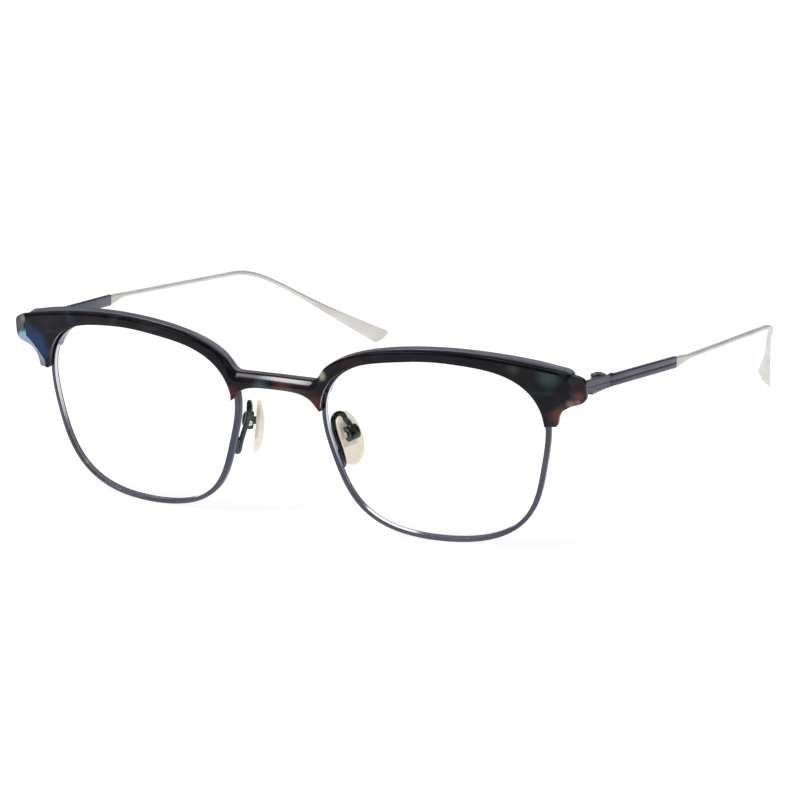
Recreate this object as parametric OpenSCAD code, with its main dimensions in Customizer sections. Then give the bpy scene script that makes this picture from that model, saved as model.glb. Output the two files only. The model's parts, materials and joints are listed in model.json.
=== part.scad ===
// Metal-rim browline eyeglasses with an acetate brow, hinged temples and nose pads.
// Units are millimetres. +X is the wearer's left, -Y is the front, +Z is up.
// z = 0 is the table that the two rims and the two temple tips stand on, and the origin
// is under the middle of the outline. The modules are drawn from the bridge's place, and
// placed() moves each node forward to it.

/* [Eye rims] */
// distance from the middle plane to the centre of one lens
eye_x = 34.6; // [33:0.1:36]
// how far the lower eye rims turn back towards the temples, degrees
eye_wrap = 6.7; // [5:0.1:8]
// lean of the whole front, top forward, degrees
front_tilt = 7.5; // [6:0.1:9]
// spherical radius that the lens and rim are curved to
base_radius = 115; // [100:1:140]
// width of the rim wire seen from the front
rim_width = 1.0; // [0.9:0.02:1.1]
// depth of the rim wire from front to back
rim_depth = 1.5; // [1.4:0.05:1.8]
// thickness of the lens
lens_thick = 1.6; // [1.4:0.1:1.8]

/* [Brow] */
// radius of the sweep of the brow's front, seen from above
brow_radius = 278; // [250:1:320]
// thickness of the acetate brow in front of the metal
acetate_thick = 1.6; // [1.4:0.1:2]
// depth of the metal brow bar behind the acetate
bar_depth = 2.0; // [1.8:0.1:2.4]

/* [Temples] */
// length of the dark flat bar behind the hinge
temple_bar_len = 31.8; // [28:0.1:36]
// height of the flat bar
temple_bar_h = 2.5; // [2.3:0.1:2.8]
// thickness of the flat bar
temple_bar_t = 1.0; // [0.9:0.05:1.1]
// diameter of the round wire
wire_d = 1.1; // [1:0.05:1.3]
// straight length of wire before the ear bend
wire_straight = 50.0; // [44:0.5:56]
// width of the flattened temple tip
paddle_w = 4.0; // [3.6:0.1:4.6]
// length of the flattened temple tip
paddle_len = 33.25; // [33:0.05:35]

/* [Nose pads] */
// length of one nose pad
pad_len = 12.0; // [11.5:0.1:13.5]
// width of one nose pad
pad_wide = 6.6; // [6:0.1:7.2]
// outward turn of the pads' rear edges, degrees
pad_splay = 30; // [24:1:34]

/* [Node] */
// which node to draw

/* [Hidden] */
$fn = 48;
// how far the bridge is in front of the middle of the outline
mid_y = 72.75;
eye_y = -0.51;
eye_z = 20.3;
steps = 96;
// outline of the lens: mean radius and the cosine and sine waves round it
lens_r0 = 22.43;
lens_cos = [0.05, 2.01, -0.21, -0.84, -0.06, -0.26];
lens_sin = [0.27, -0.07, 0.99, -0.16, 0.37, -0.05];
half_rim = rim_width / 2;
flange_depth = 1.1;
brow_y = -3.1;
gap = 0.02;
// hinge pin: vertical, at the joint of end piece and temple
pin_x = 64.0;
pin_y = 15.6;
pin_z0 = 33.3;
pin_z1 = 36.0;
// lock blocks that close the rim behind the brow's lug
lock_x = 59.45;
lock_depth = 1.6;
lock_z = [10.3, 11.85, 11.95, 13.5];
knuckle_r = 1.6;
screw_r = 0.7;
// pad pivot
pad_at = [12.0, 7.6, 19.85];
pad_lean = 11.8;
pad_toe = -5.4;
pad_front = 3.3;
pad_back = 1.2;
pad_low = -1.65;
arm_r = 0.6;

// ---------- curves ----------
function waves(v, k, a, f) = k < 0 ? 0 : waves(v, k - 1, a, f)
  + v[k] * (f == 0 ? cos((k + 1) * a) : sin((k + 1) * a));
function lens_r(a) = lens_r0 + waves(lens_cos, 5, a, 0) + waves(lens_sin, 5, a, 1);
// the brow's opening, which laps a little over the rim at the outer side
function opening_r(a) = lens_r(a) + 0.2 - 0.65 * pow(max(0, cos(a - 25)), 3);
function bez(a, b, c, d, n) = [for (i = [0:n - 1]) let (t = i / n)
  a * pow(1 - t, 3) + 3 * b * t * pow(1 - t, 2) + 3 * c * t * t * (1 - t) + d * pow(t, 3)];
function mirrored(p) = [for (i = [len(p) - 1:-1:0]) [-p[i][0], p[i][1]]];

// upper edge of the brow from the middle of the bridge to the outer end
function brow_top(n) = concat(
  [[0, 13.35]],
  bez([8.6, 13.25], [9.9, 13.4], [10.4, 14.85], [11.6, 16.2], n),
  bez([11.6, 16.2], [14.6, 19.5], [23.5, 21.9], [35.5, 21.9], n),
  bez([35.5, 21.9], [44, 21.9], [54, 20.3], [63.5, 18.0], n));
// outer end and the lug below it
function brow_end(n) = concat(
  bez([63.5, 18.0], [65.7, 17.5], [66.4, 16.9], [66.4, 15.6], n),
  bez([66.4, 13.6], [66.4, 12.4], [65.2, 12.0], [63.6, 11.6], n),
  bez([63.6, 11.6], [61.6, 11.1], [60.9, 9.6], [60.6, 7.6], n),
  [[60.3, 7.05], [57.0, 7.0]]);
// nose arch from the inner tip to the middle
function brow_arch(n) = concat(
  bez([11.2, 6.9], [9.4, 6.8], [9.3, 8.1], [8.4, 9.0], n),
  bez([8.4, 9.0], [6.6, 10.5], [4.2, 10.65], [0, 10.65], n));

function brow_half() = concat(brow_top(14), brow_end(8), [[50, 10], [34, 12], [20, 9]],
  brow_arch(10));
function brow_outline() = concat(brow_half(), mirrored(brow_half()));
// the metal bar is a hair lower than the brow and stops short of its end
function bar_half() = concat([for (p = brow_top(14)) if (p[0] < 61) [p[0], p[1] - 0.2]],
  bez([61.0, 18.5], [62.6, 18.2], [63.4, 17.6], [63.4, 16.6], 5),
  [[63.4, 14.9], [57, 14.9], [50, 10], [34, 12], [20, 9], [12, 10], [8.0, 11.4], [0, 11.4]]);
function bar_outline() = concat(bar_half(), mirrored(bar_half()));
// band along the upper part of the lens outline
function upper_band(inner, outer) = concat(
  [for (a = [36:3.05:158]) (lens_r(a) + outer) * [cos(a), sin(a)]],
  [for (a = [158:-3.05:36]) (lens_r(a) + inner) * [cos(a), sin(a)]]);
function lock_y() = brow_y + acetate_thick + lock_depth / 2 + brow_radius
  - sqrt(pow(brow_radius, 2) - pow(lock_x, 2));

// ---------- frames ----------
function turn_x(p, a) = [p[0], p[1] * cos(a) - p[2] * sin(a), p[1] * sin(a) + p[2] * cos(a)];
function turn_y(p, a) = [p[0] * cos(a) + p[2] * sin(a), p[1], p[2] * cos(a) - p[0] * sin(a)];
function turn_z(p, a) = [p[0] * cos(a) - p[1] * sin(a), p[0] * sin(a) + p[1] * cos(a), p[2]];
function from_eye(p) = [eye_x, eye_y, eye_z] + turn_z(turn_x(p, front_tilt), eye_wrap);
function from_pad(p) = pad_at + turn_z(turn_y(turn_x(p, pad_lean), pad_toe), -pad_splay);
// a point 'out' behind the rear face of the rim, at angle a round the lens
function behind_rim(a, out) = from_eye([lens_r(a) * cos(a),
  base_radius - sqrt(pow(base_radius - rim_depth, 2) - pow(lens_r(a), 2)) + out,
  lens_r(a) * sin(a)]);

module placed() {
  translate([0, -mid_y, 0]) children();
}
module front_frame() {
  translate([0, 0, eye_z]) rotate([front_tilt, 0, 0]) children();
}
module eye_frame() {
  translate([eye_x, eye_y, eye_z]) rotate([front_tilt, 0, eye_wrap]) children();
}
module bar_frame() {
  translate([66.22, 15.3, 34.92]) rotate([-5.4, 0, -4.2]) children();
}
module pad_frame() {
  translate(pad_at) rotate([0, 0, -pad_splay]) rotate([pad_lean, pad_toe, 0]) children();
}
module other_side() {
  mirror([1, 0, 0]) children();
}
module both_sides() {
  children();
  other_side() children();
}

// ---------- building blocks ----------
module prism(pts) {
  translate([0, 20, 0]) rotate([90, 0, 0]) linear_extrude(30) polygon(pts);
}
module eye_prism(grow) {
  prism([for (i = [0:steps - 1]) let (a = i * 360 / steps)
    (lens_r(a) + grow) * [cos(a), sin(a)]]);
}
module eye_ball(depth) {
  translate([0, base_radius, 0]) sphere(r = base_radius - depth, $fn = 120);
}
// everything behind a surface that is 'depth' behind the brow's front
module behind_front(depth) {
  translate([0, brow_y + brow_radius, -30])
    cylinder(r = brow_radius - depth, h = 60, $fn = 180);
}
module slab(near, far) {
  difference() {
    behind_front(near);
    behind_front(far);
  }
}
module rod(a, b, r) {
  d = b - a;
  h = norm(d);
  translate(a) rotate([0, acos(d[2] / h), atan2(d[1], d[0])]) cylinder(h = h, r = r, $fn = 24);
}
function unit(v) = v / norm(v);
// round tube along a list of points; 'side' is never parallel to it
module tube(way, r, side, n) {
  last = len(way) - 1;
  points = [for (i = [0:last])
    let (ahead = unit(way[min(i + 1, last)] - way[max(i - 1, 0)]), u = unit(cross(side, ahead)),
      v = cross(ahead, u))
    for (k = [0:n - 1]) way[i] + r * (cos(k * 360 / n) * u + sin(k * 360 / n) * v)];
  walls = [for (i = [0:last - 1]) for (k = [0:n - 1]) let (m = (k + 1) % n)
    [i * n + k, (i + 1) * n + k, (i + 1) * n + m, i * n + m]];
  polyhedron(points, concat(walls, [[for (k = [0:n - 1]) k]],
    [[for (k = [n - 1:-1:0]) last * n + k]]));
}
module pin_at(z0, z1, r) {
  translate([pin_x, pin_y, z0]) cylinder(h = z1 - z0, r = r);
}

// ---------- front ----------
module brow_front() {
  color([0.10, 0.08, 0.09]) difference() {
    front_frame() intersection() {
      slab(0, acetate_thick);
      prism(brow_outline());
    }
    both_sides() eye_frame()
      prism([for (a = [0:3.75:356.25]) opening_r(a) * [cos(a), sin(a)]]);
    both_sides() eye_frame() intersection() {
      eye_prism(half_rim + 0.06);
      eye_ball(-gap);
    }
  }
}
module flange(inner, near) {
  intersection() {
    prism(upper_band(inner, half_rim + 0.4));
    difference() {
      eye_ball(near);
      eye_ball(rim_depth + flange_depth);
    }
  }
}
module brow_bar() {
  color([0.32, 0.32, 0.38]) union() {
    difference() {
      front_frame() intersection() {
        slab(acetate_thick + gap, acetate_thick + bar_depth);
        prism(bar_outline());
      }
      both_sides() eye_frame() eye_prism(half_rim + gap);
    }
    // flange that carries the rim from behind
    both_sides() eye_frame() {
      flange(-half_rim, rim_depth + gap);
      flange(half_rim + gap, rim_depth - 0.6);
    }
  }
}
module rim() {
  color([0.30, 0.30, 0.36]) eye_frame() difference() {
    intersection() {
      difference() {
        eye_prism(half_rim);
        eye_prism(-half_rim);
      }
      difference() {
        eye_ball(0);
        eye_ball(rim_depth);
      }
    }
    // groove for the lens
    intersection() {
      eye_prism(-half_rim + 0.35);
      difference() {
        eye_ball(0.5);
        eye_ball(1.05);
      }
    }
    // the rim opens here to take the lens
    translate([18, -4, 12.14]) cube([12, 14, 0.1]);
  }
}
module lens() {
  color([0.85, 0.95, 0.93, 0.3]) eye_frame() union() {
    intersection() {
      eye_prism(-half_rim - 0.03);
      difference() {
        eye_ball(0);
        eye_ball(lens_thick);
      }
    }
    intersection() {
      eye_prism(-half_rim + 0.3);
      difference() {
        eye_ball(0.55);
        eye_ball(1.0);
      }
    }
  }
}
module end_piece() {
  color([0.30, 0.30, 0.36]) difference() {
    union() {
      bar_frame() translate([-temple_bar_t / 2, -14, -temple_bar_h / 2])
        cube([temple_bar_t, 13.97, temple_bar_h]);
      front_frame() intersection() {
        slab(acetate_thick + gap, acetate_thick + 1.6);
        prism([[59.0, 13.6], [64.2, 13.6], [65.8, 14.3], [65.8, 15.9], [63.6, 15.9],
          [63.6, 14.85], [59.0, 14.85]]);
      }
    }
    front_frame() difference() {
      translate([40, -20, -10]) cube([60, 40, 60]);
      behind_front(acetate_thick + gap);
    }
    eye_frame() eye_prism(half_rim + gap);
    bar_frame() translate([temple_bar_t / 2 - 0.12, -15, -0.12]) cube([1, 20, 0.24]);
  }
}
module lock_block(z0, z1) {
  color([0.34, 0.34, 0.40]) difference() {
    front_frame() difference() {
      intersection() {
        slab(acetate_thick + gap, acetate_thick + lock_depth);
        prism([[57, z0], [lock_x + 1.3, z0], [lock_x + 1.3, z1], [57, z1]]);
      }
      translate([lock_x, lock_y(), 0]) cylinder(h = 20, r = 0.515, $fn = 24);
    }
    eye_frame() eye_prism(half_rim + gap);
  }
}
module lock_screws() {
  color([0.75, 0.75, 0.77]) both_sides() front_frame() translate([lock_x, lock_y(), lock_z[0]])
    difference() {
      union() {
        translate([0, 0, -0.52]) cylinder(h = 0.5, r = 0.75);
        translate([0, 0, -0.1]) cylinder(h = 3.1, r = 0.5);
      }
      translate([-1.5, -0.12, -0.8]) cube([3, 0.24, 0.45]);
    }
}

// ---------- nose pads ----------
// wire from its foot on the rim, back and up, over the loop and down into the box
function arm_way() =
  let (foot = behind_rim(188.5, arm_r + gap), heel = behind_rim(194.5, arm_r + gap),
    low = [12.25, 3.4, 14.9], high = [9.8, 3.4, 23.1], over = [11.2, 6.4, 22.9])
  concat([foot],
    bez(heel, heel + 0.5 * (heel - foot), [12.4, 3.4, 13.2], low, 6),
    bez(low, [12.1, 3.4, 16.8], [9.7, 3.2, 21.0], high, 4),
    bez(high, [9.9, 3.6, 24.8], [11.0, 5.9, 25.1], over, 8),
    bez(over, [11.3, 6.6, 22.4], from_pad([0.15, 0, 2.4]), from_pad([0.15, 0, 1.68]), 3),
    [from_pad([0.15, 0, 1.68])]);
module pad_arm() {
  color([0.26, 0.28, 0.28]) tube(arm_way(), arm_r, [0.9, -0.43, 0], 12);
}
module pad_box() {
  color([0.26, 0.28, 0.28]) pad_frame() difference() {
    intersection() {
      rotate([90, 0, 0]) cylinder(h = 2.5, r = 1.65, center = true, $fn = 48);
      translate([-0.85, -2, -2]) cube([4, 4, 4]);
    }
    translate([-1, -0.45, -2]) cube([1.82, 0.9, 4]);
    rotate([90, 0, 0]) cylinder(h = 4, r = 0.365, center = true, $fn = 24);
  }
}
module pad_screws() {
  color([0.7, 0.7, 0.72]) both_sides() pad_frame() difference() {
    union() {
      translate([0, 1.2, 0]) rotate([90, 0, 0]) cylinder(h = 2.47, r = 0.35, $fn = 24);
      translate([0, -1.27, 0]) rotate([90, 0, 0]) cylinder(h = 0.3, r = 0.62, $fn = 24);
    }
    translate([-1, -1.7, -0.07]) cube([2, 0.28, 0.14]);
  }
}
module pad_core() {
  color([0.55, 0.45, 0.35]) pad_frame() difference() {
    union() {
      rotate([90, 0, 0]) cylinder(h = 0.8, r = 0.75, center = true, $fn = 32);
      translate([-1.6, -0.4, -0.75]) cube([1.6, 0.8, 1.5]);
      translate([-1.95, -1.6, -3.1]) cube([0.4, 3.2, 5.4]);
    }
    rotate([90, 0, 0]) cylinder(h = 2, r = 0.4, center = true, $fn = 24);
  }
}
module pad_shape() {
  translate([-pad_back, 0, pad_low]) rotate([0, -90, 0]) linear_extrude(6)
    polygon([for (i = [0:35]) let (a = i * 10)
      [pad_len / 2 * cos(a), pad_wide / 2 * sin(a) * (1 - 0.16 * cos(a))]]);
}
module nose_pad() {
  color([0.86, 0.80, 0.70, 0.6]) pad_frame() difference() {
    intersection() {
      pad_shape();
      translate([20 - pad_front, 0, pad_low]) sphere(r = 20, $fn = 120);
    }
    translate([-1.97, -1.62, -3.12]) cube([0.44, 3.24, 5.44]);
    translate([-1.6, -0.43, -0.78]) cube([3, 0.86, 1.56]);
  }
}

// ---------- hinges ----------
module hinge_front() {
  color([0.36, 0.36, 0.40]) difference() {
    union() {
      pin_at(pin_z0, 34.1, knuckle_r);
      pin_at(35.2, pin_z1, knuckle_r);
      translate([pin_x, 9.6, pin_z0]) cube([3, 5.6, pin_z1 - pin_z0]);
    }
    bar_frame() translate([-temple_bar_t / 2 - gap, -20, -5]) cube([6, 40, 10]);
    pin_at(34.1, 35.2, knuckle_r + 0.15);
    pin_at(30, 40, screw_r + 0.015);
  }
}
module hinge_temple() {
  color([0.36, 0.36, 0.40]) difference() {
    union() {
      pin_at(34.15, 35.15, knuckle_r);
      translate([pin_x, pin_y, 34.15]) cube([3, 3, 1]);
      translate([pin_x, 17.55, 33.4]) cube([3, 4.6, 1.5]);
    }
    bar_frame() translate([-temple_bar_t / 2 - gap, -20, -5]) cube([6, 40, 10]);
    pin_at(30, 40, screw_r + 0.05);
  }
}
module hinge_screws() {
  color([0.72, 0.72, 0.74]) both_sides() difference() {
    union() {
      pin_at(pin_z0 + 0.05, pin_z1 + 0.1, screw_r);
      pin_at(pin_z1 + gap, pin_z1 + 0.32, 0.95);
    }
    translate([pin_x - 2, pin_y - 0.12, pin_z1 + 0.16]) cube([4, 0.24, 1]);
  }
}

// ---------- temples ----------
module temple_bar() {
  color([0.30, 0.30, 0.36]) bar_frame() difference() {
    translate([-temple_bar_t / 2, 0.03, -temple_bar_h / 2])
      cube([temple_bar_t, temple_bar_len, temple_bar_h]);
    translate([temple_bar_t / 2 - 0.12, -1, -0.12]) cube([1, temple_bar_len + 3, 0.24]);
    translate([0, temple_bar_len + 1, 0.2]) rotate([90, 0, 0]) cylinder(h = 5, r = 0.32, $fn = 24);
  }
}
module wire_joint() {
  sphere(d = wire_d + 0.06, $fn = 32);
}
module bend(radius, angle) {
  wire_joint();
  translate([radius, 0, 0]) rotate([90, 0, 180]) rotate_extrude(angle = angle, $fn = 96)
    translate([radius, 0]) circle(d = wire_d, $fn = 24);
  translate([radius * (1 - cos(angle)), 0, radius * sin(angle)]) rotate([0, angle, 0]) children();
}
module straight(length) {
  wire_joint();
  cylinder(h = length, d = wire_d, $fn = 24);
  translate([0, 0, length]) children();
}
// one edge of the temple tip, from the wire to the rounded corner of its end
function paddle_edge() =
  let (half = paddle_w / 2, corner = [half - 0.05, paddle_len - 0.95])
  concat(
    bez([wire_d / 2, 1], [0.85, 10], [half - 0.45, 22], corner, 10),
    bez(corner, corner + [0.05, 0.6], [half - 0.25, paddle_len], [half - 0.9, paddle_len], 6),
    [[half - 0.9, paddle_len]]);
module paddle() {
  wire_joint();
  rotate([90, 0, 0]) translate([0, 0, -0.6]) linear_extrude(1.2)
    polygon(concat([[-wire_d / 2, 0], [wire_d / 2, 0]],
      paddle_edge(), [for (i = [len(paddle_edge()) - 1:-1:0])
        [-paddle_edge()[i][0], paddle_edge()[i][1]]]));
}
module temple_wire() {
  color([0.78, 0.77, 0.74]) union() {
    bar_frame() translate([0, 0.03 + temple_bar_len + gap, 0]) {
      intersection() {
        translate([-3, 0, 0]) rotate([90, 0, 90]) linear_extrude(6)
          polygon([[0, -1.2], [0, 1.2], [6.3, 0.95], [6.3, -0.15]]);
        translate([0, 0, -3]) linear_extrude(6)
          polygon([[-0.45, 0], [0.45, 0], [0.55, 6.3], [-0.55, 6.3]]);
      }
      translate([0, 0.5, 0.2]) rotate([90, 0, 0]) cylinder(h = 4, r = 0.3, $fn = 24);
    }
    translate([68.95, 53.0, 31.75]) rotate([-5.9, 0, 1.84]) rotate([-90, 0, 0]) rotate([0, 0, 90])
      straight(wire_straight) rotate([0, 0, 42.3]) bend(26.9, 30.3)
      rotate([0, 0, -96.1]) bend(120, 4.3) rotate([0, 0, -168.1]) paddle();
  }
}

placed() brow_front();
placed() brow_bar();
placed() rim();  // rim_left
placed() other_side() rim();  // rim_right
placed() lens();  // lens_left
placed() other_side() lens();  // lens_right
placed() end_piece();  // end_piece_left
placed() other_side() end_piece();  // end_piece_right
placed() lock_block(lock_z[2], lock_z[3]);  // lock_upper_left
placed() other_side() lock_block(lock_z[2], lock_z[3]);  // lock_upper_right
placed() lock_block(lock_z[0], lock_z[1]);  // lock_lower_left
placed() other_side() lock_block(lock_z[0], lock_z[1]);  // lock_lower_right
placed() lock_screws();
placed() pad_arm();  // pad_arm_left
placed() other_side() pad_arm();  // pad_arm_right
placed() pad_box();  // pad_box_left
placed() other_side() pad_box();  // pad_box_right
placed() pad_screws();
placed() nose_pad();  // nose_pad_left
placed() other_side() nose_pad();  // nose_pad_right
placed() pad_core();  // pad_core_left
placed() other_side() pad_core();  // pad_core_right
placed() hinge_front();  // hinge_front_left
placed() other_side() hinge_front();  // hinge_front_right
placed() hinge_temple();  // hinge_temple_left
placed() other_side() hinge_temple();  // hinge_temple_right
placed() hinge_screws();
placed() temple_bar();  // temple_bar_left
placed() other_side() temple_bar();  // temple_bar_right
placed() temple_wire();  // temple_wire_left
placed() other_side() temple_wire();  // temple_wire_right
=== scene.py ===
"""Metal-rim browline eyeglasses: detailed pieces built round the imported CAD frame."""

import json
import math

import bmesh
import bpy
import numpy as np
from mathutils import Matrix, Vector


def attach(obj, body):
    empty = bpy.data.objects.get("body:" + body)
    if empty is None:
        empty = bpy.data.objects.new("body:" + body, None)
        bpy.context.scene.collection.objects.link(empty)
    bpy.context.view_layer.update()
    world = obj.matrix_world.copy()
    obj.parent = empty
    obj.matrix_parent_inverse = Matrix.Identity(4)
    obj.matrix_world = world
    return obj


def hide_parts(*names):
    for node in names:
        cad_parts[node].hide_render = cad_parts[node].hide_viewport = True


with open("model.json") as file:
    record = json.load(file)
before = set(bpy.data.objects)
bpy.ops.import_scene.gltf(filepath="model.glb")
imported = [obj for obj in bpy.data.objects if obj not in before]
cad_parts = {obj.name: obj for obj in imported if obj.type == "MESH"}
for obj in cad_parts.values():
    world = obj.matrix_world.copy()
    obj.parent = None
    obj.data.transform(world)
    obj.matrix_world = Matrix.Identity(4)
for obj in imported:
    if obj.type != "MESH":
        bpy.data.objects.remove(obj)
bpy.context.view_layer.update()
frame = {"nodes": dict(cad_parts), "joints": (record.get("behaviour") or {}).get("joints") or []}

# ---------- frames ----------
# Shapes are worked out in millimetres in the CAD model's own local frames, drawn from the
# bridge's place, and TO_ROW carries them to the row frame in metres. PIN is the left hinge's
# place in the bridge's frame, which ties the two together.
MM = 0.001
JOINT = {j["name"]: j for j in frame["joints"]}
PIN = Vector((64.0, 15.6, 34.7))
TO_ROW = Matrix.Translation(Vector(JOINT["temple_left_fold"]["pos_m"]) - PIN * MM) @ Matrix.Scale(MM, 4)
SIDES = (("left", 1), ("right", -1))


def spin(x, y, z):
    """Turn about X, then Y, then Z, in degrees."""
    turns = [Matrix.Rotation(math.radians(a), 4, k) for a, k in ((z, "Z"), (y, "Y"), (x, "X"))]
    return turns[0] @ turns[1] @ turns[2]


def shift(x, y, z):
    return Matrix.Translation((x, y, z))


FRONT_TILT, EYE_WRAP = 7.5, 6.7
EYE_X, EYE_Y, EYE_Z = 34.6, -0.51, 20.3
BAR_DROP, BAR_SPLAY = -5.4, -4.2
PAD_TURN, PAD_TILT, PAD_FLARE = -30, 11.8, -5.4
FRONT = shift(0, 0, EYE_Z) @ spin(FRONT_TILT, 0, 0)
EYE = shift(EYE_X, EYE_Y, EYE_Z) @ spin(FRONT_TILT, 0, EYE_WRAP)
BAR = shift(66.22, 15.3, 34.92) @ spin(BAR_DROP, 0, BAR_SPLAY)
PAD = shift(12.0, 7.6, 19.85) @ spin(0, 0, PAD_TURN) @ spin(PAD_TILT, PAD_FLARE, 0)
FROM_FRONT = FRONT.inverted()

# ---------- driving sizes ----------
BASE_RADIUS = 115.0                        # of the lenses' front
RIM_HALF, RIM_DEPTH = 0.5, 1.5             # half width seen from the front, and depth
BROW_Y, BROW_RADIUS = -3.1, 278.0          # the brow's front at the middle, and its curve
ACETATE = 1.6                              # thickness of the acetate
BAR_BACK = 3.6                             # depth of the brow bar's back behind the brow's front
GAP = 0.02                                 # between pieces that touch
OPENING, LAP, LAP_AT = 0.2, 0.45, 25       # the brow's opening, its lap over the rim, and where
TEMPLE_START, TEMPLE_LEN = 0.03, 31.2      # along the temple's flat bar
TEMPLE_HALF_H, TEMPLE_HALF_T = 1.25, 0.5
WIRE_R, WIRE_TAPER = 0.55, 6.9             # temple wire, and its shoulder behind the bar


# ---------- curves ----------
def bez(a, b, c, d, n):
    """n + 1 points along a cubic Bezier curve."""
    a, b, c, d = (np.array(p, float) for p in (a, b, c, d))
    t = np.linspace(0, 1, n + 1)[:, None]
    return a * (1 - t) ** 3 + 3 * b * t * (1 - t) ** 2 + 3 * c * t * t * (1 - t) + d * t**3


def join(*curves):
    """Curves end to end, without doubled points."""
    points = np.vstack([np.array(c, float) for c in curves])
    step = np.linalg.norm(np.diff(points, axis=0), axis=1)
    return points[np.concatenate([[True], step > 1e-6])]


def resample(points, n):
    """n points at equal steps along a curve, both ends kept."""
    points = np.array(points, float)
    along = np.concatenate([[0], np.cumsum(np.linalg.norm(np.diff(points, axis=0), axis=1))])
    at = np.linspace(0, along[-1], n)
    return np.stack([np.interp(at, along, points[:, k]) for k in range(points.shape[1])], 1)


def smooth(values, width):
    """A running mean that keeps the length of the list."""
    padded = np.pad(values, (width, width), mode="edge")
    return np.convolve(padded, np.ones(2 * width + 1) / (2 * width + 1), "valid")


def lens_waves(node="rim_left", waves=8):
    """Fourier terms of the lens outline, measured on the CAD rim's outer wall."""
    back = (TO_ROW @ EYE).inverted()
    co = np.array([back @ v.co for v in frame["nodes"][node].data.vertices])
    angle = np.degrees(np.arctan2(co[:, 2], co[:, 0])) % 360
    radius = np.hypot(co[:, 0], co[:, 2])
    samples, count, window = [], 96, 0.3
    for k in range(count):
        close = np.abs((angle - k * 360 / count + 180) % 360 - 180) < window
        samples.append(radius[close].max() - RIM_HALF)
    return np.fft.rfft(samples)[: waves + 1] / count


WAVES = lens_waves()


def lens_r(degrees):
    """Radius of the middle of the rim wire, seen along the lens axis."""
    a = math.radians(degrees)
    return WAVES[0].real + 2 * sum((w * complex(math.cos(k * a), math.sin(k * a))).real
                                   for k, w in enumerate(WAVES) if k)


def eye_point(degrees, grow, depth):
    """A point on the lens outline grown by 'grow', 'depth' behind the spherical front."""
    r = lens_r(degrees) + grow
    y = BASE_RADIUS - math.sqrt((BASE_RADIUS - depth) ** 2 - r * r)
    a = math.radians(degrees)
    return Vector((r * math.cos(a), y, r * math.sin(a)))


def brow_y(x):
    """Where the front of the brow is, in the front frame."""
    return BROW_Y + BROW_RADIUS - math.sqrt(BROW_RADIUS**2 - x * x)


def opening(degrees):
    """How far the brow's opening stands off the middle of the rim; it laps over it outside."""
    return OPENING - LAP * max(0.0, math.cos(math.radians(degrees - LAP_AT))) ** 3


def rim_front(degrees):
    """Depth of the rim's front edge behind the front of the brow."""
    depths = []
    for grow in (opening(degrees), RIM_HALF):
        p = FROM_FRONT @ EYE @ eye_point(degrees, grow, 0)
        depths.append(p.y - brow_y(p.x))
    return min(depths)


def brow_arc(degrees, grow, depth):
    """(x, z) in the front frame where the lens opening cuts a surface of the brow."""
    r, a, y = lens_r(degrees) + grow, math.radians(degrees), 0.0
    for _ in range(5):
        p = FROM_FRONT @ EYE @ Vector((r * math.cos(a), y, r * math.sin(a)))
        y += brow_y(p.x) + depth - p.y
    return p.x, p.z


# ---------- meshes ----------
def make(name, points, faces, materials, body, node, face_mats=None, sharp=38):
    """A piece from points in the bridge's frame, riding on a body, in place of a CAD node."""
    mesh = bpy.data.meshes.new(name)
    mesh.from_pydata([TO_ROW @ Vector(p) for p in points], [], faces)
    for m in materials:
        mesh.materials.append(m)
    if face_mats is not None:
        mesh.polygons.foreach_set("material_index", face_mats)
    work = bmesh.new()
    work.from_mesh(mesh)
    bmesh.ops.recalc_face_normals(work, faces=work.faces)
    for f in work.faces:
        f.smooth = True
    for e in work.edges:
        e.smooth = e.calc_face_angle(0) < math.radians(sharp)
    work.to_mesh(mesh)
    work.free()
    piece = bpy.data.objects.new(name, mesh)
    bpy.context.scene.collection.objects.link(piece)
    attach(piece, body)
    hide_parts(node)
    return piece


def loft(rings, closed=False):
    """Points and faces of a skin over rings of equal length, capped unless it closes on itself."""
    n, count = len(rings[0]), len(rings)
    points = [p for ring in rings for p in ring]
    faces = []
    for i in range(count if closed else count - 1):
        j = (i + 1) % count
        for k in range(n):
            m = (k + 1) % n
            faces.append((i * n + k, i * n + m, j * n + m, j * n + k))
    if not closed:
        faces.append(tuple(range(n))[::-1])
        faces.append(tuple(range((count - 1) * n, count * n)))
    return points, faces


def mirrored(points, s):
    return [(s * p[0], p[1], p[2]) for p in points]


def rounded_box(a0, a1, b0, b1, radii, n=4):
    """Outline of a rectangle with four corner radii, anticlockwise from (a1, b1)."""
    corners = ((a1, b1, 0), (a0, b1, 90), (a0, b0, 180), (a1, b0, 270))
    out = []
    for (a, b, start), r in zip(corners, radii):
        ca = a - r * (1 if a == a1 else -1)
        cb = b - r * (1 if b == b1 else -1)
        for k in range(n + 1):
            t = math.radians(start + 90 * k / n)
            out.append((ca + r * math.cos(t), cb + r * math.sin(t)))
    return out


def superellipse(a, b, power, count, turn=0.0, way=1):
    """Outline points in fixed directions, so that rings of different shape still join."""
    out = []
    for k in range(count):
        t = turn + way * 2 * math.pi * k / count
        c, s = math.cos(t), math.sin(t)
        r = (abs(c / a) ** power + abs(s / b) ** power) ** (-1 / power)
        out.append((r * c, r * s))
    return out


# ---------- materials ----------
def add_node(tree, kind, **values):
    """A new shader node with some of its settings."""
    node = tree.nodes.new(kind)
    for key, value in values.items():
        setattr(node, key, value)
    return node


def start(name):
    """A new material, its node tree and its main shader."""
    material = bpy.data.materials.new(name)
    material.use_nodes = True
    tree = material.node_tree
    return material, tree, tree.nodes["Principled BSDF"]


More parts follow.
